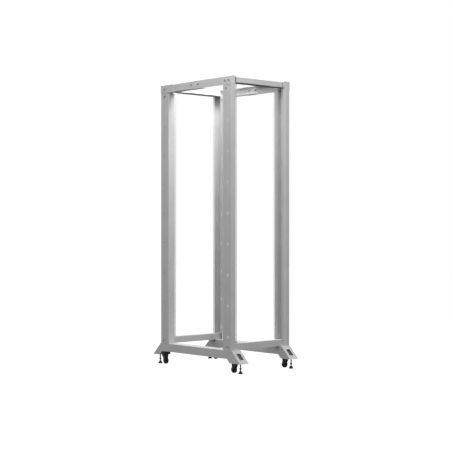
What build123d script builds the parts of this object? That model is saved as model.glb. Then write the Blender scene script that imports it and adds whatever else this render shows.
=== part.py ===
from build123d import *
import os

# Open frame rack on four posts for 19 inch equipment. Millimetres, Z up.
# X runs from left to right across the front, Y from the front to the rear.
os.makedirs("parts", exist_ok=True)

# Outline of the rack over its posts.
rack_width = 580.0
rack_depth = 804.0
sheet = 2.0
bend = 3.0

# The 19 inch mounting grid: unit height, holes in each unit, hole columns.
unit = 44.45
unit_count = 42
unit_holes = (6.35, 22.225, 38.1)
hole_side = 9.5
column_span = 465.1
clear_width = 450.0

# Levels above the floor, from the foot tips to the top beams.
foot_bottom = 72.0
beam_bottom = 101.0
beam_top = 162.0
foot_top = 165.0
bay_floor = 210.0
bay_top = bay_floor + unit_count * unit
top_cross_height = 41.0
side_beam_drop = 15.0
side_beam_rise = 46.0
top_cross_top = bay_top + top_cross_height
side_beam_bottom = bay_top - side_beam_drop
side_beam_top = bay_top + side_beam_rise
post_top = side_beam_top - bend

# Section of a post, from its outer web and its outer face.
web_depth = 91.5
lip_width = 35.0
joggle_width = 15.0
front_strip = 14.0
back_strip = 100.0
strip_edge = (rack_width - clear_width) / 2
column_x = (rack_width - column_span) / 2
end_plate = 2.5
slot_width = 8.0
slot_length = 25.0
slot_inset = 38.0
slot_pitch = 5 * unit
slot_first = bay_floor + unit
slot_count = 9

# Beams between the posts.
beam_width = 84.0
low_cross_inset = 18.0
low_cross_depth = 46.0
top_cross_depth = 75.0
top_cross_lip = 20.0
tongue_inset = 18.0
front_sleeve_length = 459.0
rear_sleeve_length = 145.0
slider_start = 345.0
slider_end = rack_depth - back_strip - 4.0
side_lip = 52.0

# Feet: a sloped plate, two cheeks, and the plates for caster and leveller.
foot_reach = 94.0
slope_wall = 3.5
front_outer_end = 20.0
front_inner_end = 7.0
rear_end = -16.0
cheek_rise = 27.0
window_width = 37.0
window_bottom = 98.0
window_top = 139.5
window_corner = 3.0
window_x = 42.5
carrier_half = 36.0
carrier_thickness = 3.0
tab_start = 90.0
tab_end = 40.0
tab_thickness = 3.0

# Caster: its plate, swivelling fork, axle and wheel.
foot_line = 38.0
swivel_y = 2.0
trail = 10.0
wheel_radius = 24.5
wheel_width = 20.0
wheel_lift = 1.5
wheel_edge = 4.0
hub_recess = 2.0
caster_plate_side = 60.0
caster_plate_thickness = 3.0
riser_height = 18.5
riser_wall = 3.0
caster_bolt_span = 45.0
caster_bolt_hole = 3.25
race_radius = 23.0
race_height = 4.0
race_gap = 0.5
crown_height = 6.5
crown_radius = 26.0
pin_radius = 5.0
pin_head_radius = 9.0
pin_head_height = 3.0
fork_wall = 2.5
fork_gap = 1.0
fork_boss = 9.0
axle_radius = 4.0
axle_head_radius = 6.5
axle_head = 3.0
running_clearance = 0.08

# Leveller: a pad on a threaded stem, in a nut on the foot.
leveller_y = -56.0
pad_radius = 17.0
pad_rim = 4.0
pad_neck = 8.0
pad_height = 18.0
stem_radius = 5.0
stem_top = 100.0
thread_clearance = 0.05
stem_hole = 6.0
nut_radius = 9.8
nut_height = 8.0

# Planes through the outer corner of the front left post.
corner_x = -rack_width / 2
corner_y = -rack_depth / 2
floor_plane = Plane(origin=(corner_x, corner_y, 0))
face_plane = Plane(origin=(corner_x, corner_y, 0), x_dir=(1, 0, 0), z_dir=(0, -1, 0))
web_plane = Plane(origin=(corner_x, corner_y, 0), x_dir=(0, 1, 0), z_dir=(1, 0, 0))

grid_heights = [bay_floor + n * unit + h for n in range(unit_count) for h in unit_holes]
slot_heights = [slot_first + n * slot_pitch for n in range(slot_count)]

carrier_bottom = beam_bottom - carrier_thickness
riser_bottom = carrier_bottom - riser_height
caster_plate_bottom = riser_bottom - caster_plate_thickness
race_bottom = caster_plate_bottom - race_height
crown_top = race_bottom - race_gap
crown_bottom = crown_top - crown_height
axle_y = swivel_y + trail
axle_z = wheel_radius + wheel_lift
fork_inside = wheel_width / 2 + fork_gap
tab_top = foot_bottom + tab_thickness


def save(part, name):
    """Write one named piece as its own STEP file."""
    part.label = name
    export_step(part, f"parts/{name}.step")


def save_sides(piece, name):
    """Save a left hand piece and its mirror image on the right."""
    save(piece.part, f"{name}_left")
    with BuildPart() as right:
        mirror(piece.part, about=Plane.YZ)
    save(right.part, f"{name}_right")


def save_corners(piece, name):
    """Save a front left piece and its mirror images at the other corners."""
    save_sides(piece, f"{name}_front")
    with BuildPart() as rear:
        mirror(piece.part, about=Plane.XZ)
    save_sides(rear, f"{name}_rear")


# Post: one folded sheet, open towards the middle of the rack, with a strip of
# square holes at each edge and oval slots in its web. The strips are as high as
# the equipment bay. A shelf inside the post carries the top cross beam, and a
# plate at its foot stands on the base beam, behind the low cross beam.
with BuildPart() as post:
    with BuildSketch(floor_plane.offset(beam_top)):
        with BuildLine():
            FilletPolyline(
                (strip_edge, front_strip),
                (lip_width + joggle_width, front_strip),
                (lip_width, 0),
                (0, 0),
                (0, web_depth),
                (lip_width, web_depth),
                (lip_width + joggle_width, back_strip),
                (strip_edge, back_strip),
                radius=bend,
            )
            offset(amount=sheet, side=Side.RIGHT)
        make_face()
    extrude(amount=post_top - beam_top)
    for cut_bottom, cut_top in ((beam_top, bay_floor), (bay_top, post_top)):
        with BuildSketch(floor_plane.offset(cut_bottom)):
            with Locations((lip_width + joggle_width, 0)):
                Rectangle(strip_edge, back_strip + bend, align=(Align.MIN, Align.MIN))
        extrude(amount=cut_top - cut_bottom, mode=Mode.SUBTRACT)
    with BuildSketch(floor_plane.offset(bay_top)):
        with Locations((sheet, sheet)):
            Rectangle(lip_width - sheet, web_depth - 2 * sheet, align=(Align.MIN, Align.MIN))
    extrude(amount=-end_plate)
    plate_start = low_cross_inset + low_cross_depth + sheet
    with BuildSketch(floor_plane.offset(beam_top)):
        with Locations((sheet, plate_start)):
            Rectangle(
                lip_width - sheet,
                web_depth - sheet - plate_start,
                align=(Align.MIN, Align.MIN),
            )
    extrude(amount=end_plate)
    with BuildSketch(face_plane):
        with Locations([(column_x, z) for z in grid_heights]):
            Rectangle(hole_side, hole_side)
    extrude(amount=-back_strip, mode=Mode.SUBTRACT)
    with BuildSketch(web_plane):
        with Locations([(slot_inset, z) for z in slot_heights]):
            SlotOverall(slot_length, slot_width, rotation=90)
    extrude(amount=sheet, mode=Mode.SUBTRACT)
save_corners(post, "post")

# Base beam: a cap open downwards, with the posts standing on it.
with BuildPart() as base_beam:
    with BuildSketch(face_plane):
        with BuildLine():
            FilletPolyline(
                (0, beam_bottom),
                (0, beam_top),
                (beam_width, beam_top),
                (beam_width, beam_bottom),
                radius=bend,
            )
            offset(amount=sheet, side=Side.RIGHT)
        make_face()
    extrude(amount=-rack_depth)
save_sides(base_beam, "base_beam")


def build_foot(outer_end, inner_end):
    """Foot in front of a base beam: its cheeks reach back to these two ends."""
    with BuildPart() as foot:
        for across, cheek_end in ((0, outer_end), (beam_width - sheet, inner_end)):
            with BuildSketch(web_plane.offset(across)):
                with BuildLine():
                    Polyline(
                        (0, foot_top),
                        (-foot_reach, foot_bottom),
                        (cheek_end, foot_bottom),
                        (cheek_end + cheek_rise, beam_bottom),
                        (0, beam_bottom),
                        close=True,
                    )
                make_face()
            extrude(amount=sheet)
        with BuildSketch(web_plane):
            with BuildLine():
                Polyline(
                    (0, foot_top),
                    (-foot_reach, foot_bottom),
                    (-foot_reach + slope_wall, foot_bottom),
                    (0, foot_top - slope_wall),
                    close=True,
                )
            make_face()
        extrude(amount=beam_width)
        with BuildSketch(face_plane):
            with Locations((window_x, (window_bottom + window_top) / 2)):
                RectangleRounded(window_width, window_top - window_bottom, window_corner)
        extrude(amount=foot_reach, mode=Mode.SUBTRACT)
        with BuildSketch(face_plane):
            with Locations((sheet, beam_bottom)):
                Rectangle(
                    beam_width - 2 * sheet,
                    beam_top - beam_bottom,
                    align=(Align.MIN, Align.MIN),
                )
        extrude(amount=sheet)
        with BuildSketch(floor_plane.offset(carrier_bottom)):
            with Locations((beam_width / 2, 0)):
                Rectangle(beam_width - sheet, 2 * carrier_half)
        extrude(amount=carrier_thickness)
        with BuildSketch(floor_plane.offset(foot_bottom)):
            with Locations((beam_width / 2, -(tab_start + tab_end) / 2)):
                Rectangle(beam_width - sheet, tab_start - tab_end)
            with Locations((foot_line, leveller_y)):
                Circle(stem_hole, mode=Mode.SUBTRACT)
        extrude(amount=tab_thickness)
    return foot


save_sides(build_foot(front_outer_end, front_inner_end), "foot_front")
rear_pattern = build_foot(rear_end, rear_end)
with BuildPart() as rear_foot:
    mirror(rear_pattern.part, about=Plane.XZ)
save_sides(rear_foot, "foot_rear")

# Low cross beam: a cap open downwards, between the webs of two posts.
with BuildPart() as low_cross:
    with BuildSketch(web_plane.offset(sheet)):
        with BuildLine():
            FilletPolyline(
                (low_cross_inset, beam_top),
                (low_cross_inset, bay_floor),
                (low_cross_inset + low_cross_depth, bay_floor),
                (low_cross_inset + low_cross_depth, beam_top),
                radius=bend,
            )
            offset(amount=sheet, side=Side.RIGHT)
        make_face()
    extrude(amount=rack_width - 2 * sheet)
    low_cross_ends = (web_plane.offset(sheet), web_plane.offset(rack_width - 2 * sheet))
    with BuildSketch(*low_cross_ends):
        with Locations((low_cross_inset + sheet, beam_top)):
            Rectangle(
                low_cross_depth - 2 * sheet,
                bay_floor - beam_top - sheet,
                align=(Align.MIN, Align.MIN),
            )
    extrude(amount=sheet)
save(low_cross.part, "low_cross_front")
with BuildPart() as low_cross_rear:
    mirror(low_cross.part, about=Plane.XZ)
save(low_cross_rear.part, "low_cross_rear")

# Top cross beam: a lipped channel open downwards between the faces of two
# posts. At each end a narrower tongue runs into the post, up to its web.
shoulder = lip_width + joggle_width
with BuildPart() as top_cross:
    with BuildSketch(web_plane.offset(sheet)):
        with BuildLine():
            FilletPolyline(
                (top_cross_lip, bay_top),
                (0, bay_top),
                (0, top_cross_top),
                (top_cross_depth, top_cross_top),
                (top_cross_depth, bay_top),
                (top_cross_depth - top_cross_lip, bay_top),
                radius=bend,
            )
            offset(amount=sheet, side=Side.RIGHT)
        make_face()
    extrude(amount=rack_width - 2 * sheet)
    with BuildSketch(floor_plane.offset(bay_top)):
        for start in (0, rack_width - shoulder):
            with Locations((start, 0)):
                Rectangle(shoulder, tongue_inset, align=(Align.MIN, Align.MIN))
    extrude(amount=top_cross_height, mode=Mode.SUBTRACT)
    with BuildSketch(web_plane.offset(sheet), web_plane.offset(rack_width - shoulder)):
        with Locations((tongue_inset, bay_top)):
            Rectangle(sheet, top_cross_height, align=(Align.MIN, Align.MIN))
    extrude(amount=shoulder - sheet)
    with BuildSketch(web_plane.offset(sheet), web_plane.offset(rack_width - 2 * sheet)):
        with Locations((tongue_inset, bay_top)):
            Rectangle(
                top_cross_depth - tongue_inset - sheet,
                top_cross_height - sheet,
                align=(Align.MIN, Align.MIN),
            )
    extrude(amount=sheet)
    shoulder_planes = (
        web_plane.offset(shoulder),
        web_plane.offset(rack_width - shoulder - sheet),
    )
    with BuildSketch(*shoulder_planes):
        with Locations((sheet, bay_top)):
            Rectangle(tongue_inset, top_cross_height - sheet, align=(Align.MIN, Align.MIN))
    extrude(amount=sheet)
save(top_cross.part, "top_cross_front")
with BuildPart() as top_cross_rear:
    mirror(top_cross.part, about=Plane.XZ)
save(top_cross_rear.part, "top_cross_rear")


def build_sleeve(start, length):
    """Angle over the posts' webs, from start to start + length along Y."""
    with BuildPart() as sleeve:
        with BuildSketch(face_plane.offset(-start)):
            with BuildLine():
                FilletPolyline(
                    (-sheet, side_beam_bottom),
                    (-sheet, side_beam_top),
                    (side_lip - sheet, side_beam_top),
                    radius=bend,
                )
                offset(amount=sheet, side=Side.RIGHT)
            make_face()
        extrude(amount=-length)
    return sleeve


save_sides(build_sleeve(0, front_sleeve_length), "side_sleeve_front")
rear_sleeve_start = rack_depth - rear_sleeve_length
save_sides(build_sleeve(rear_sleeve_start, rear_sleeve_length), "side_sleeve_rear")

# Side slider: the channel that joins the two sleeves of a side at the chosen
# depth of the rack; it lies against their webs and under their lips.
with BuildPart() as side_slider:
    with BuildSketch(face_plane.offset(-slider_start)):
        with BuildLine():
            FilletPolyline(
                (side_lip - 2 * sheet, side_beam_top - sheet),
                (0, side_beam_top - sheet),
                (0, side_beam_bottom + sheet),
                (side_lip - 2 * sheet, side_beam_bottom + sheet),
                radius=bend,
            )
            offset(amount=sheet, side=Side.LEFT)
        make_face()
    extrude(amount=-(slider_end - slider_start))
save_sides(side_slider, "side_slider")

# Caster plate: a square riser under the foot and the caster's bolted plate,
# its ball race and the pin that the fork turns on.
with BuildPart() as caster_plate:
    with BuildSketch(floor_plane.offset(riser_bottom)):
        with Locations((foot_line, swivel_y)):
            RectangleRounded(caster_plate_side, caster_plate_side, bend)
            inside = caster_plate_side - 2 * riser_wall
            Rectangle(inside, inside, mode=Mode.SUBTRACT)
    extrude(amount=riser_height)
    caster_plates = (
        floor_plane.offset(caster_plate_bottom),
        floor_plane.offset(carrier_bottom - riser_wall),
    )
    with BuildSketch(*caster_plates):
        with Locations((foot_line, swivel_y)):
            RectangleRounded(caster_plate_side, caster_plate_side, bend)
            with GridLocations(caster_bolt_span, caster_bolt_span, 2, 2):
                Circle(caster_bolt_hole, mode=Mode.SUBTRACT)
    extrude(amount=caster_plate_thickness)
    with BuildSketch(floor_plane.offset(race_bottom)):
        with Locations((foot_line, swivel_y)):
            Circle(race_radius)
    extrude(amount=race_height)
    pin_bottom = crown_bottom - race_gap
    with BuildSketch(floor_plane.offset(pin_bottom)):
        with Locations((foot_line, swivel_y)):
            Circle(pin_radius)
    extrude(amount=race_bottom - pin_bottom)
    with BuildSketch(floor_plane.offset(pin_bottom)):
        with Locations((foot_line, swivel_y)):
            Circle(pin_head_radius)
    extrude(amount=-pin_head_height)
save_corners(caster_plate, "caster_plate")

# Fork: a round crown with two legs that slope back to the axle.
with BuildPart() as fork:
    with BuildSketch(floor_plane.offset(crown_bottom)):
        with Locations((foot_line, swivel_y)):
            Circle(crown_radius)
    extrude(amount=crown_height)
    fork_sides = (
        web_plane.offset(foot_line - fork_inside - fork_wall),
        web_plane.offset(foot_line + fork_inside),
    )
    with BuildSketch(*fork_sides):
        with BuildLine():
            Polyline(
                (swivel_y - crown_radius * 0.85, crown_top),
                (axle_y - fork_boss, axle_z),
                (axle_y + fork_boss, axle_z),
                (swivel_y + crown_radius * 0.85, crown_top),
                close=True,
            )
        make_face()
        with Locations((axle_y, axle_z)):
            Circle(fork_boss)
            Circle(axle_radius, mode=Mode.SUBTRACT)
    extrude(amount=fork_wall)
    with BuildSketch(floor_plane.offset(crown_bottom)):
        with Locations((foot_line, swivel_y)):
            Circle(pin_radius + running_clearance)
    extrude(amount=crown_height, mode=Mode.SUBTRACT)
save_corners(fork, "fork")

# Axle: a pin through both legs of the fork, with a flat head at each end.
axle_reach = fork_inside + fork_wall
with BuildPart() as axle:
    with BuildSketch(web_plane.offset(foot_line - axle_reach)):
        with Locations((axle_y, axle_z)):
            Circle(axle_radius)
    extrude(amount=2 * axle_reach)
    axle_ends = (
        web_plane.offset(foot_line - axle_reach - axle_head),
        web_plane.offset(foot_line + axle_reach),
    )
    with BuildSketch(*axle_ends):
        with Locations((axle_y, axle_z)):
            Circle(axle_head_radius)
    extrude(amount=axle_head)
save_corners(axle, "axle")

# Wheel: solid tyre and hub, with a running bore and a recess in each face.
with BuildPart() as wheel:
    with BuildSketch(web_plane.offset(foot_line - wheel_width / 2)):
        with Locations((axle_y, axle_z)):
            Circle(wheel_radius)
    extrude(amount=wheel_width)
    fillet(wheel.edges(), radius=wheel_edge)
    recess_planes = (
        web_plane.offset(foot_line - wheel_width / 2),
        web_plane.offset(foot_line + wheel_width / 2 - hub_recess),
    )
    with BuildSketch(*recess_planes):
        with Locations((axle_y, axle_z)):
            Circle(wheel_radius * 0.7)
            Circle(wheel_radius * 0.35, mode=Mode.SUBTRACT)
    extrude(amount=hub_recess, mode=Mode.SUBTRACT)
    with BuildSketch(web_plane.offset(foot_line - wheel_width / 2)):
        with Locations((axle_y, axle_z)):
            Circle(axle_radius + running_clearance)
    extrude(amount=wheel_width, mode=Mode.SUBTRACT)
save_corners(wheel, "wheel")

# Leveller: a cone shaped pad and its threaded stem, turned as one piece.
leveller_plane = Plane(
    origin=(corner_x + foot_line, corner_y + leveller_y, 0),
    x_dir=(1, 0, 0),
    z_dir=(0, -1, 0),
)
with BuildPart() as leveller:
    with BuildSketch(leveller_plane):
        with BuildLine():
            Polyline(
                (0, 0),
                (pad_radius, 0),
                (pad_radius, pad_rim),
                (pad_neck, pad_height),
                (stem_radius, pad_height),
                (stem_radius, stem_top),
                (0, stem_top),
                close=True,
            )
        make_face()
    stem_axis = Axis((corner_x + foot_line, corner_y + leveller_y, 0), (0, 0, 1))
    revolve(axis=stem_axis)
save_corners(leveller, "leveller")

# Leveller nut: welded to the foot, it holds the stem.
with BuildPart() as leveller_nut:
    with BuildSketch(floor_plane.offset(tab_top)):
        with Locations((foot_line, leveller_y)):
            RegularPolygon(nut_radius, 6)
            Circle(stem_radius + thread_clearance, mode=Mode.SUBTRACT)
    extrude(amount=nut_height)
save_corners(leveller_nut, "leveller_nut")
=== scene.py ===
import math

import bmesh
import bpy
from mathutils import Matrix, Vector


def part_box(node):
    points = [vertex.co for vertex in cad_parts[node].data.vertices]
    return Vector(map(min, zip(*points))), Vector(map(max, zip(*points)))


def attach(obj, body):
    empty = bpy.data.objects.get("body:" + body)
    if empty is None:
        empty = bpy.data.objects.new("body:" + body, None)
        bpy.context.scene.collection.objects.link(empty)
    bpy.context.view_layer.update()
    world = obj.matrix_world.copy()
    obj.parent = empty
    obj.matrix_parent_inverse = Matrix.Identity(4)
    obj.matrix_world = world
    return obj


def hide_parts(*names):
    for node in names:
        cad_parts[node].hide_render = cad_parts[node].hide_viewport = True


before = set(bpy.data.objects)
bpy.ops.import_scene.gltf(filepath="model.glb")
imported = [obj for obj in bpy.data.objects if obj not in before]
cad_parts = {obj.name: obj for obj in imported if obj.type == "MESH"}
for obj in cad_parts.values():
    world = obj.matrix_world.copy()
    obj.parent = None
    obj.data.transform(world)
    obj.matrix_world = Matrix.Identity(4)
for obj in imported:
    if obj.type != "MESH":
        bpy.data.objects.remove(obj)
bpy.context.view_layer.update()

# Camera: level, a little above a metre from the floor, about nine metres out
# from the front left corner, with a long lens. The shift lowers the horizon.
photo_width = 452
focal_pixels = 1165.0
sensor_width = 36.0
horizon_drop = 5.4
corner_low, corner_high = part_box("post_front_left")
camera_back = Vector((-5.523, -6.177))
camera_height = 1.012
camera_turn = 41.54

lens = bpy.data.cameras.new("camera")
lens.sensor_width = sensor_width
lens.lens = focal_pixels / photo_width * sensor_width
lens.shift_y = horizon_drop / photo_width
lens.clip_end = 60.0
camera = bpy.data.objects.new("camera", lens)
bpy.context.scene.collection.objects.link(camera)
camera.location = (
    corner_low.x + camera_back.x,
    corner_low.y + camera_back.y,
    camera_height,
)
camera.rotation_euler = (math.radians(90), 0, math.radians(-camera_turn))
bpy.context.scene.camera = camera
bpy.context.scene.view_settings.view_transform = "Standard"


# Material trees: a Wire is one socket of a tree. Sums and products of wires
# add Math nodes, and node() adds any other kind of node.
class Wire:
    def __init__(self, tree, socket):
        self.tree = tree
        self.socket = socket

    def node(self, kind, settings, sockets, output=0):
        made = self.tree.nodes.new(kind)
        for key, value in settings.items():
            setattr(made, key, value)
        for key, value in sockets.items():
            if isinstance(value, Wire):
                self.tree.links.new(value.socket, made.inputs[key])
            else:
                made.inputs[key].default_value = value
        return Wire(self.tree, made.outputs[output])

    def sum_of(self, operation, first, second):
        return self.node("ShaderNodeMath", {"operation": operation}, {0: first, 1: second})

    def __add__(self, other):
        return self.sum_of("ADD", self, other)

    def __radd__(self, other):
        return self.sum_of("ADD", other, self)

    def __sub__(self, other):
        return self.sum_of("SUBTRACT", self, other)

    def __rsub__(self, other):
        return self.sum_of("SUBTRACT", other, self)

    def __mul__(self, other):
        return self.sum_of("MULTIPLY", self, other)

    def __rmul__(self, other):
        return self.sum_of("MULTIPLY", other, self)

    def larger(self, other):
        return self.sum_of("MAXIMUM", self, other)

    def stretched(self, across, along):
        """The place scaled alike across, and by another factor along Z."""
        return self.node(
            "ShaderNodeMapping", {}, {"Vector": self, "Scale": (across, across, along)}
        )

    def noise(self, per_metre, detail):
        return self.node(
            "ShaderNodeTexNoise", {}, {"Vector": self, "Scale": per_metre, "Detail": detail}
        )

    def above(self, low, high):
        """0 below low, 1 above high and a smooth rise between."""
        return self.node(
            "ShaderNodeMapRange",
            {"interpolation_type": "SMOOTHSTEP"},
            {"Value": self, "From Min": low, "From Max": high},
        )

    def blend(self, first, second):
        """A colour from first to second as this wire goes from 0 to 1."""
        sides = {0: self}
        for slot, shade in ((6, first), (7, second)):
            sides[slot] = shade if isinstance(shade, Wire) else (shade, shade, shade, 1)
        return self.node("ShaderNodeMix", {"data_type": "RGBA"}, sides, output=2)

    def bump(self, height):
        """Normals raised by this wire, with height in metres."""
        return self.node(
            "ShaderNodeBump", {}, {"Strength": 0.3, "Distance": height, "Height": self}
        )


def start_material(name):
    """A new material, the place Wire in object coordinates and its shader."""
    material = bpy.data.materials.new(name)
    material.use_nodes = True
    tree = material.node_tree
    place = Wire(tree, None).node("ShaderNodeTexCoord", {}, {}, output=3)
    return material, place, tree.nodes["Principled BSDF"]


def feed(shader, values):
    """Link or set the named sockets of a shader."""
    for name, value in values.items():
        if isinstance(value, Wire):
            value.tree.links.new(value.socket, shader.inputs[name])
        else:
            shader.inputs[name].default_value = value


# Floor: a pale level floor under the rack. Straight views and mirror rays see
# it nearly white with a faint shadow, and it sends little light back upwards.
floor_half = 20.0
floor_glow = 0.86
floor_mesh = bmesh.new()
bmesh.ops.create_grid(floor_mesh, x_segments=1, y_segments=1, size=floor_half)
floor_data = bpy.data.meshes.new("floor")
floor_mesh.to_mesh(floor_data)
floor_mesh.free()
floor = bpy.data.objects.new("floor", floor_data)
bpy.context.scene.collection.objects.link(floor)

floor_paint = bpy.data.materials.new("floor_white")
floor_paint.use_nodes = True
floor_tree = floor_paint.node_tree
floor_tree.nodes.clear()
rays = floor_tree.nodes.new("ShaderNodeLightPath")
seen = Wire(floor_tree, rays.outputs["Is Camera Ray"])
mirrored = Wire(floor_tree, rays.outputs["Is Glossy Ray"])
through = Wire(floor_tree, rays.outputs["Is Transmission Ray"])
shown = seen.larger(mirrored).larger(through)
floor_dark = seen.node("ShaderNodeBsdfDiffuse", {}, {"Color": (0.04, 0.04, 0.04, 1)})
floor_pale = seen.node("ShaderNodeBsdfDiffuse", {}, {"Color": (0.80, 0.80, 0.80, 1)})
floor_white = seen.node(
    "ShaderNodeEmission", {}, {"Color": (1, 1, 1, 1), "Strength": 1.12}
)
floor_matt = seen.node("ShaderNodeMixShader", {}, {0: shown, 1: floor_dark, 2: floor_pale})
floor_mix = seen.node(
    "ShaderNodeMixShader", {}, {0: shown * floor_glow, 1: floor_matt, 2: floor_white}
)
floor_out = floor_tree.nodes.new("ShaderNodeOutputMaterial")
floor_tree.links.new(floor_mix.socket, floor_out.inputs["Surface"])
floor_data.materials.append(floor_paint)

# Backdrop and light: a white room lights the rack softly. Lamps stand high at
# its front, left and back and over it, each with place, target, side and watts.
ambient = 0.50
world = bpy.data.worlds.new("studio")
bpy.context.scene.world = world
world.use_nodes = True
world_tree = world.node_tree
sky_rays = world_tree.nodes.new("ShaderNodeLightPath")
sky_seen = Wire(world_tree, sky_rays.outputs["Is Camera Ray"])
sky_mirrored = Wire(world_tree, sky_rays.outputs["Is Glossy Ray"])
sky_through = Wire(world_tree, sky_rays.outputs["Is Transmission Ray"])
sky_level = sky_seen.larger(sky_mirrored).larger(sky_through) * (1 - ambient) + ambient
background = world_tree.nodes["Background"]
background.inputs["Color"].default_value = (1, 1, 1, 1)
world_tree.links.new(sky_level.socket, background.inputs["Strength"])

lamps = (
    ("key_lamp", (-3.4, -4.6, 3.4), (0.0, 0.0, 2.3), 1.6, 70.0),
    ("front_lamp", (0.3, -3.4, 3.1), (0.0, -0.4, 1.9), 1.2, 18.0),
    ("near_lamp", (-0.9, -0.9, 3.0), (0.1, 0.3, 1.6), 0.5, 8.0),
    ("inner_lamp", (-0.15, -0.2, 2.8), (0.1, 0.4, 1.4), 0.4, 23.0),
    ("top_lamp", (0.0, 0.2, 5.0), (0.0, 0.0, 2.0), 2.0, 20.0),
    ("left_lamp", (-3.2, 1.6, 3.2), (-0.3, 0.5, 1.9), 1.2, 13.0),
    ("back_lamp", (3.4, 3.2, 3.2), (0.0, 0.0, 1.2), 2.0, 42.0),
)
for lamp_name, lamp_place, lamp_target, lamp_side, lamp_watts in lamps:
    lamp_data = bpy.data.lights.new(lamp_name, "AREA")
    lamp_data.size = lamp_side
    lamp_data.energy = lamp_watts
    lamp = bpy.data.objects.new(lamp_name, lamp_data)
    bpy.context.scene.collection.objects.link(lamp)
    lamp.location = lamp_place
    lamp_aim = Vector(lamp_target) - Vector(lamp_place)
    lamp.rotation_euler = lamp_aim.to_track_quat("-Z", "Y").to_euler()
    lamp.visible_camera = False

# Sheet steel: posts, beams and feet are folded 2 mm steel under a light grey
# powder coat, with a fine orange peel, faint clouds and a few handling scuffs.
coat, coat_place, coat_shader = start_material("grey_powder_coat")
coat_clouds = coat_place.noise(7.0, 3.0)
coat_scuffs = coat_place.stretched(90.0, 14.0).noise(1.0, 5.0).above(0.63, 0.72)
coat_specks = coat_place.noise(900.0, 2.0)
coat_colour = coat_clouds.above(0.3, 0.7).blend(0.60, 0.64)
coat_colour = (coat_scuffs * 0.25).blend(coat_colour, 0.70)
coat_colour = (coat_specks.above(0.66, 0.74) * 0.2).blend(coat_colour, 0.52)
feed(
    coat_shader,
    {
        "Base Color": coat_colour,
        "Roughness": coat_clouds * 0.12 + 0.52 - coat_scuffs * 0.10,
        "Specular IOR Level": 0.20,
        "Normal": coat_place.noise(620.0, 2.0).bump(0.00015),
    },
)


def cover(starts, material):
    """Give a material to the rack's nodes whose names start like this."""
    for node_name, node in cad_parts.items():
        if node_name.startswith(starts):
            node.data.materials.clear()
            node.data.materials.append(material)


cover(("post_", "base_beam", "foot_", "low_cross", "top_cross", "side_"), coat)

# Caster steel: risers, plates and forks of the casters are pressed steel in
# black paint, worn to grey in small patches.
paint, paint_place, paint_shader = start_material("caster_paint")
paint_clouds = paint_place.noise(55.0, 4.0)
paint_wear = paint_place.noise(240.0, 5.0).above(0.62, 0.72)
paint_black = paint_clouds.above(0.3, 0.7).blend(0.008, 0.018)
feed(
    paint_shader,
    {
        "Base Color": (paint_wear * 0.30).blend(paint_black, 0.12),
        "Roughness": paint_clouds * 0.2 + 0.42,
        "Specular IOR Level": 0.22,
        "Normal": paint_place.noise(900.0, 2.0).bump(0.0001),
    },
)
cover(("caster_plate", "fork"), paint)

# Plated steel: bolts of the frame are in dull zinc, and stems, axles and nuts
# of the feet in black zinc. Both are mottled and brighter where tools rub.
plated = {}
for plate_name, plate_low, plate_high, plate_rubbed, plate_metal in (
    ("dull_zinc", 0.20, 0.32, 0.55, 0.80),
    ("black_zinc", 0.008, 0.020, 0.12, 0.25),
):
    plate, plate_place, plate_shader = start_material(plate_name)
    plate_mottle = plate_place.noise(320.0, 4.0)
    plate_rub = plate_place.noise(1400.0, 3.0).above(0.60, 0.70)
    plate_base = plate_mottle.above(0.3, 0.7).blend(plate_low, plate_high)
    feed(
        plate_shader,
        {
            "Base Color": (plate_rub * 0.4).blend(plate_base, plate_rubbed),
            "Metallic": plate_metal,
            "Specular IOR Level": 0.25,
            "Roughness": plate_mottle * 0.25 + 0.34,
            "Normal": plate_place.noise(2200.0, 2.0).bump(0.00004),
        },
    )
    plated[plate_name] = plate
zinc = plated["dull_zinc"]
black_zinc = plated["black_zinc"]

# Plastic and rubber: leveller pads and wheel hubs are moulded black nylon, and
# tyres are black rubber, which is duller and dusty in patches.
nylon, nylon_place, nylon_shader = start_material("black_nylon")
nylon_grain = nylon_place.noise(500.0, 3.0)
feed(
    nylon_shader,
    {
        "Base Color": nylon_grain.above(0.3, 0.7).blend(0.006, 0.014),
        "Roughness": nylon_grain * 0.2 + 0.44,
        "Specular IOR Level": 0.20,
        "Normal": nylon_grain.bump(0.0001),
    },
)
rubber, rubber_place, rubber_shader = start_material("black_rubber")
rubber_dust = rubber_place.noise(130.0, 5.0).above(0.5, 0.72)
feed(
    rubber_shader,
    {
        "Base Color": (rubber_dust * 0.25).blend(0.007, 0.06),
        "Roughness": rubber_dust * 0.2 + 0.62,
        "Specular IOR Level": 0.18,
        "Normal": rubber_place.noise(800.0, 3.0).bump(0.0002),
    },
)


def turn(mesh, profile, steps, place, closed=False):
    """Add a solid of revolution: (radius, height) points about Z of place."""
    solid = bmesh.new()
    ring = [solid.verts.new((radius, 0, height)) for radius, height in profile]
    pairs = list(zip(ring, ring[1:]))
    if closed:
        pairs.append((ring[-1], ring[0]))
    chain = [solid.edges.new(pair) for pair in pairs]
    bmesh.ops.spin(
        solid, geom=ring + chain, cent=(0, 0, 0), axis=(0, 0, 1), angle=math.tau, steps=steps
    )
    bmesh.ops.remove_doubles(solid, verts=solid.verts, dist=0.00001)
    bmesh.ops.transform(solid, matrix=place, verts=solid.verts)
    bmesh.ops.recalc_face_normals(solid, faces=solid.faces)
    turned = bpy.data.meshes.new("turned")
    solid.to_mesh(turned)
    solid.free()
    mesh.from_mesh(turned)
    bpy.data.meshes.remove(turned)


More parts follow.
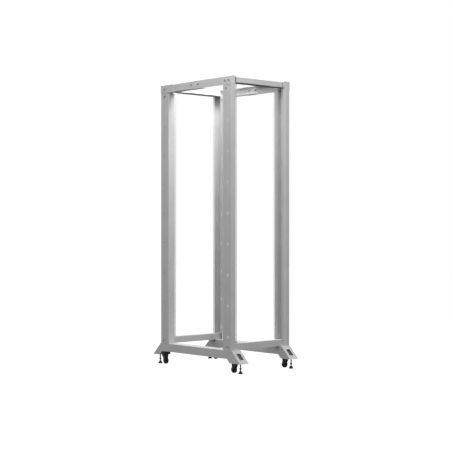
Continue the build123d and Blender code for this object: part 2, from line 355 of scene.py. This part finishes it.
def finish_piece(name, mesh, material, body):
    """Make the mesh an object that rides on a body of the rack."""
    data = bpy.data.meshes.new(name)
    mesh.to_mesh(data)
    mesh.free()
    for face in data.polygons:
        face.use_smooth = True
    data.set_sharp_from_angle(angle=math.radians(38))
    data.materials.append(material)
    piece = bpy.data.objects.new(name, data)
    bpy.context.scene.collection.objects.link(piece)
    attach(piece, body)
    return piece


def facing(place, out):
    """A matrix at place with its Z axis along out."""
    return Matrix.Translation(place) @ Vector(out).to_track_quat("Z", "Y").to_matrix().to_4x4()


def bolt(mesh, place, out, size, grip):
    """A hexagon bolt of this thread size through a grip, with washer and nut."""
    at = facing(place, out)
    washer_top = 0.0016
    head_top = washer_top + 0.6 * size
    head_dip = head_top - 0.0004
    nut_end = -grip - 0.8 * size
    stud_end = -grip - 0.9 * size - 0.002
    stud_neck = stud_end + 0.0008
    chamfer = 0.0007
    hex_corner = 0.94 * size
    hex_face = 0.84 * size
    washer = [(0, 0), (size, 0), (size, 0.0012), (0.9 * size, washer_top), (0, washer_top)]
    turn(mesh, washer, 24, at)
    head = [
        (0, washer_top), (hex_corner, washer_top), (hex_corner, head_top - chamfer),
        (hex_face, head_top), (0.6 * size, head_top), (0.52 * size, head_dip), (0, head_dip),
    ]
    turn(mesh, head, 6, at)
    stud = [
        (0, 0.001), (0.47 * size, 0.001), (0.47 * size, stud_neck), (0.38 * size, stud_end),
        (0, stud_end),
    ]
    turn(mesh, stud, 16, at)
    nut = [
        (0, -grip), (0.86 * size, -grip), (hex_corner, -grip - chamfer),
        (hex_corner, nut_end + chamfer), (hex_face, nut_end), (0, nut_end),
    ]
    turn(mesh, nut, 6, at)


def corner_frame(corner):
    """A post's outer corner and the signs that lead into the rack from it."""
    low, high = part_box("post_" + corner)
    into_x = 1 if "left" in corner else -1
    into_y = 1 if "front" in corner else -1
    x = low.x if into_x > 0 else high.x
    y = low.y if into_y > 0 else high.y
    return x, y, into_x, into_y


# Corner bolts: two bolts at each front post and one at each rear post hold side
# beam, post and top beam, with one lower bolt. M8 and M6, dull zinc steel.
corners = ("front_left", "front_right", "rear_left", "rear_right")
bolt_insets = {"front": (0.027, 0.066), "rear": (0.045,)}
bolt_drop = 0.006
three_sheets = 0.006
lower_inset = 0.054
lower_drop = 0.055
for corner in corners:
    x, y, into_x, into_y = corner_frame(corner)
    end = corner.split("_")[0]
    out = (-into_x, 0, 0)
    beam_low, beam_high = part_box("top_cross_" + end)
    sleeve_low, sleeve_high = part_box("side_sleeve_" + corner)
    sleeve_x = sleeve_low.x if into_x > 0 else sleeve_high.x
    bolt_z = (beam_low.z + beam_high.z) / 2 - bolt_drop
    corner_bolts = bmesh.new()
    for inset in bolt_insets[end]:
        bolt(corner_bolts, (sleeve_x, y + into_y * inset, bolt_z), out, 0.008, three_sheets)
    bolt(corner_bolts, (x, y + into_y * lower_inset, bolt_z - lower_drop), out, 0.006, 0.002)
    finish_piece("corner_bolts_" + corner, corner_bolts, zinc, "frame")

# Depth bolts: on each side two bolts clamp the long sleeve to the slider near
# its end. M8 hexagon bolts of dull zinc steel, with washers and nuts.
clamp_insets = (0.094, 0.021)
clamp_rise = 0.002
two_sheets = 0.004
for side, into_x in (("left", 1), ("right", -1)):
    front_low, front_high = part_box("side_sleeve_front_" + side)
    sleeve_x = front_low.x if into_x > 0 else front_high.x
    bolt_z = (front_low.z + front_high.z) / 2 + clamp_rise
    depth_bolts = bmesh.new()
    for inset in clamp_insets:
        place = (sleeve_x, front_high.y - inset, bolt_z)
        bolt(depth_bolts, place, (-into_x, 0, 0), 0.008, two_sheets)
    finish_piece("depth_bolts_" + side, depth_bolts, zinc, "frame")

# Beam bolts: small round headed screws of black zinc steel, two at each end of
# the top beams and two through each post's web into the low beam. All are M6.
screw_insets = {"left": 0.0400, "right": 0.0695}
low_screw_step = 0.010
round_head = [(0, 0), (0.0042, 0), (0.0038, 0.0012), (0.0026, 0.0022), (0.0014, 0.0024),
              (0.0014, 0.0014), (0, 0.0014)]
for corner in corners:
    x, y, into_x, into_y = corner_frame(corner)
    end, side = corner.split("_")
    top_low, top_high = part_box("top_cross_" + end)
    tie_low, tie_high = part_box("low_cross_" + end)
    beam_screws = bmesh.new()
    for screw_z in (top_low.z + 0.010, top_high.z - 0.012):
        place = (x + into_x * screw_insets[side], y, screw_z)
        turn(beam_screws, round_head, 20, facing(place, (0, -into_y, 0)))
    tie_y = (tie_low.y + tie_high.y) / 2
    tie_z = (tie_low.z + tie_high.z) / 2
    for screw_y in (tie_y - low_screw_step, tie_y + low_screw_step):
        turn(beam_screws, round_head, 20, facing((x, screw_y, tie_z), (-into_x, 0, 0)))
    finish_piece("beam_screws_" + corner, beam_screws, black_zinc, "frame")

# Base bolts: an M8 bolt comes up through the base beam into the end plate of
# each post, reached from below through the open side of the beam.
beam_sheet = 0.002
end_plate = 0.0025
plate_bolt_x = 0.019
plate_bolt_y = 0.078
for corner in corners:
    x, y, into_x, into_y = corner_frame(corner)
    base_low, base_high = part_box("base_beam_" + corner.split("_")[1])
    base_bolts = bmesh.new()
    place = (x + into_x * plate_bolt_x, y + into_y * plate_bolt_y, base_high.z - beam_sheet)
    bolt(base_bolts, place, (0, 0, -1), 0.008, beam_sheet + end_plate)
    finish_piece("base_bolts_" + corner, base_bolts, zinc, "frame")

# Caster bolts: four M6 bolts run up through each caster's plate and its hollow
# riser to nuts on the foot's plate. A pressed cup covers the ball race.
race_drop = 0.0045
carrier_sheet = 0.003
half_span = 0.0225
stub_head = [(0, 0), (0.0052, 0), (0.0052, 0.0028), (0.0045, 0.0034), (0, 0.0034)]
foot_nut = [(0, 0), (0.0054, 0), (0.0054, 0.0044), (0.0047, 0.005), (0.0028, 0.005),
            (0.0028, 0.0075), (0, 0.0078)]
cup = [(0.0215, 0), (0.0249, 0), (0.0249, 0.0026), (0.0243, 0.0034), (0.0215, 0.0034)]
for corner in corners:
    plate_low, plate_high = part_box("caster_plate_" + corner)
    fork_low, fork_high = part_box("fork_" + corner)
    middle = (plate_low + plate_high) / 2
    plate_face = fork_high.z + race_drop
    caster_bolts = bmesh.new()
    for step_x in (-half_span, half_span):
        for step_y in (-half_span, half_span):
            under = (middle.x + step_x, middle.y + step_y, plate_face)
            over = (middle.x + step_x, middle.y + step_y, plate_high.z + carrier_sheet)
            turn(caster_bolts, stub_head, 6, facing(under, (0, 0, -1)))
            turn(caster_bolts, foot_nut, 6, facing(over, (0, 0, 1)))
    finish_piece("caster_bolts_" + corner, caster_bolts, black_zinc, "frame")
    race_cup = bmesh.new()
    turn(race_cup, cup, 48, facing((middle.x, middle.y, plate_face), (0, 0, -1)), closed=True)
    finish_piece("race_cup_" + corner, race_cup, paint, "frame")

# Wheel: a black rubber tyre moulded on a nylon hub with five pockets a side.
# It turns on its axle bolt, so both ride on the roller.
tyre_edge = 0.0003
bore = 0.0042
pocket_step = 72
pocket_start = 13
pocket_end = 59
for corner in corners:
    wheel_low, wheel_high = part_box("wheel_" + corner)
    centre = (wheel_low + wheel_high) / 2
    radius = (wheel_high.z - wheel_low.z) / 2
    half = (wheel_high.x - wheel_low.x) / 2
    at = facing(centre, (1, 0, 0))
    tyre = bmesh.new()
    tread = [
        (0.62 * radius, -0.92 * half), (0.66 * radius, -half + tyre_edge),
        (0.84 * radius, -half + tyre_edge), (0.94 * radius, -0.86 * half),
        (0.99 * radius, -0.62 * half), (radius, -0.35 * half), (radius, -0.05 * half),
        (0.985 * radius, 0), (radius, 0.05 * half),
        (radius, 0.35 * half), (0.99 * radius, 0.62 * half), (0.94 * radius, 0.86 * half),
        (0.84 * radius, half - tyre_edge), (0.66 * radius, half - tyre_edge),
        (0.62 * radius, 0.92 * half),
    ]
    turn(tyre, tread, 64, at, closed=True)
    tyre_piece = finish_piece("tyre_" + corner, tyre, rubber, "roller_" + corner)
    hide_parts("wheel_" + corner)
    hub = bmesh.new()
    rim = 0.625 * radius
    side = [(bore, 1.0), (0.0082, 1.0), (0.0086, 0.95), (0.0088, 0.74), (rim - 0.0012, 0.74),
            (rim - 0.0008, 0.88), (rim, 0.88)]
    hub_profile = [(r, -h * half) for r, h in side] + [(r, h * half) for r, h in side[::-1]]
    turn(hub, hub_profile, 40, Matrix.Identity(4), closed=True)
    hub.faces.ensure_lookup_table()
    for end in (-1, 1):
        dish = [
            face for face in hub.faces
            if abs(face.normal.z) > 0.99
            and 0.70 < end * face.calc_center_median().z / half < 0.78
        ]
        for pocket_turn in range(0, 360, pocket_step):
            pocket = []
            for face in dish:
                middle = face.calc_center_median()
                angle = math.degrees(math.atan2(middle.y, middle.x)) % 360
                if pocket_turn + pocket_start < angle < pocket_turn + pocket_end:
                    pocket.append(face)
            bmesh.ops.inset_region(
                hub, faces=pocket, thickness=0.0006, depth=-0.0022, use_even_offset=True
            )
    bmesh.ops.transform(hub, matrix=at, verts=hub.verts)
    bmesh.ops.recalc_face_normals(hub, faces=hub.faces)
    finish_piece("hub_" + corner, hub, nylon, "roller_" + corner)

# Axle: an M8 bolt with a hexagon head and a lock nut, through both legs of the
# fork. It stays in the fork while the wheel turns.
axle_head_space = 0.003
axle_head = [(0, 0), (0.0064, 0), (0.0064, 0.0022), (0.0056, 0.0029), (0, 0.0029)]
axle_nut = [(0, 0), (0.0064, 0), (0.0064, 0.0016), (0.0052, 0.0024), (0.0050, 0.0028),
            (0, 0.0028)]
for corner in corners:
    axle_low, axle_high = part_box("axle_" + corner)
    wheel_low, wheel_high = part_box("wheel_" + corner)
    centre = (wheel_low + wheel_high) / 2
    outer = (axle_high.x - axle_low.x) / 2
    leg = outer - axle_head_space
    axle = bmesh.new()
    shank = [(0, -leg - 0.0005), (0.004, -leg - 0.0005), (0.004, leg), (0.004, outer - 0.0004),
             (0.0034, outer), (0, outer)]
    turn(axle, shank, 28, facing(centre, (1, 0, 0)))
    turn(axle, axle_head, 6, facing(centre - Vector((leg, 0, 0)), (-1, 0, 0)))
    turn(axle, axle_nut, 6, facing(centre + Vector((leg, 0, 0)), (1, 0, 0)))
    axle_name = "axle_bolt_" + corner
    axle_piece = finish_piece(axle_name, axle, black_zinc, "swivel_" + corner)
    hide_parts("axle_" + corner)

# Leveller: a cone pad of black nylon on an M10 stem of black zinc steel, whose
# thread is one spun ridge. A lock nut sits low on the stem, a square on top.
thread_pitch = 0.0015
thread_steps = 18
thread_start = 0.0190
thread_end = 0.0085
for corner in corners:
    leveller_low, leveller_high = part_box("leveller_" + corner)
    foot = (leveller_low + leveller_high) / 2
    foot.z = leveller_low.z
    pad_radius = (leveller_high.x - leveller_low.x) / 2
    top = leveller_high.z - leveller_low.z
    at = Matrix.Translation(foot)
    pad = bmesh.new()
    cone = [
        (0, 0), (pad_radius - 0.0008, 0), (pad_radius, 0.0008), (pad_radius, 0.0034),
        (pad_radius - 0.0008, 0.0042), (0.0125, 0.0090), (0.0098, 0.0145),
        (0.0092, 0.0176), (0.0086, 0.0180), (0, 0.0180),
    ]
    turn(pad, cone, 48, at)
    finish_piece("pad_" + corner, pad, nylon, "jack_" + corner)
    stem = bmesh.new()
    core = [(0, 0.0150), (0.0042, 0.0150), (0.0042, top - 0.008), (0.0050, top - 0.0075),
            (0.0050, top - 0.0068), (0, top - 0.0068)]
    turn(stem, core, 24, at)
    drive = [(0, top - 0.0070), (0.0046, top - 0.0070), (0.0046, top - 0.0006),
             (0.0040, top), (0, top)]
    turn(stem, drive, 4, at)
    lock_nut = [(0, 0.0332), (0.0080, 0.0332), (0.0092, 0.0338), (0.0092, 0.0404),
                (0.0080, 0.0410), (0, 0.0410)]
    turn(stem, lock_nut, 6, at)
    thread_turns = round((top - thread_start - thread_end) / thread_pitch)
    ridge = bmesh.new()
    tooth = [ridge.verts.new(point) for point in
             ((0.0041, 0, -0.0006), (0.00495, 0, 0), (0.0041, 0, 0.0006))]
    sides = [ridge.edges.new(pair) for pair in zip(tooth, tooth[1:] + tooth[:1])]
    bmesh.ops.spin(
        ridge, geom=tooth + sides, cent=(0, 0, 0), axis=(0, 0, 1),
        dvec=(0, 0, thread_pitch / thread_steps), angle=math.tau * thread_turns,
        steps=thread_steps * thread_turns,
    )
    bmesh.ops.holes_fill(ridge, edges=[edge for edge in ridge.edges if edge.is_boundary])
    bmesh.ops.recalc_face_normals(ridge, faces=ridge.faces)
    ridge_place = at @ Matrix.Translation((0, 0, thread_start))
    bmesh.ops.transform(ridge, matrix=ridge_place, verts=ridge.verts)
    ridge_data = bpy.data.meshes.new("ridge")
    ridge.to_mesh(ridge_data)
    ridge.free()
    stem.from_mesh(ridge_data)
    bpy.data.meshes.remove(ridge_data)
    stem_piece = finish_piece("stem_" + corner, stem, black_zinc, "jack_" + corner)
    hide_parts("leveller_" + corner)

# Foot nut: the hexagon nut welded on each foot's tab that the stem runs in,
# with chamfered corners and a weld bead around its base.
for corner in corners:
    nut_low, nut_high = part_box("leveller_nut_" + corner)
    seat = (nut_low + nut_high) / 2
    seat.z = nut_low.z
    corner_radius = (nut_high.x - nut_low.x) / 2
    height = nut_high.z - nut_low.z
    nut = bmesh.new()
    rim = [
        (0.0051, 0.0003), (0.0051, height), (0.0058, height), (corner_radius - 0.0012, height),
        (corner_radius, height - 0.0008), (corner_radius, 0.0003),
    ]
    turn(nut, rim, 6, Matrix.Translation(seat), closed=True)
    bead = [(0.0092, 0.0002), (0.0092, 0.0012), (0.0100, 0.0014), (0.0108, 0.0009),
            (0.0112, 0.0002)]
    turn(nut, bead, 30, Matrix.Translation(seat), closed=True)
    nut_piece = finish_piece("foot_nut_" + corner, nut, black_zinc, "frame")
    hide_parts("leveller_nut_" + corner)
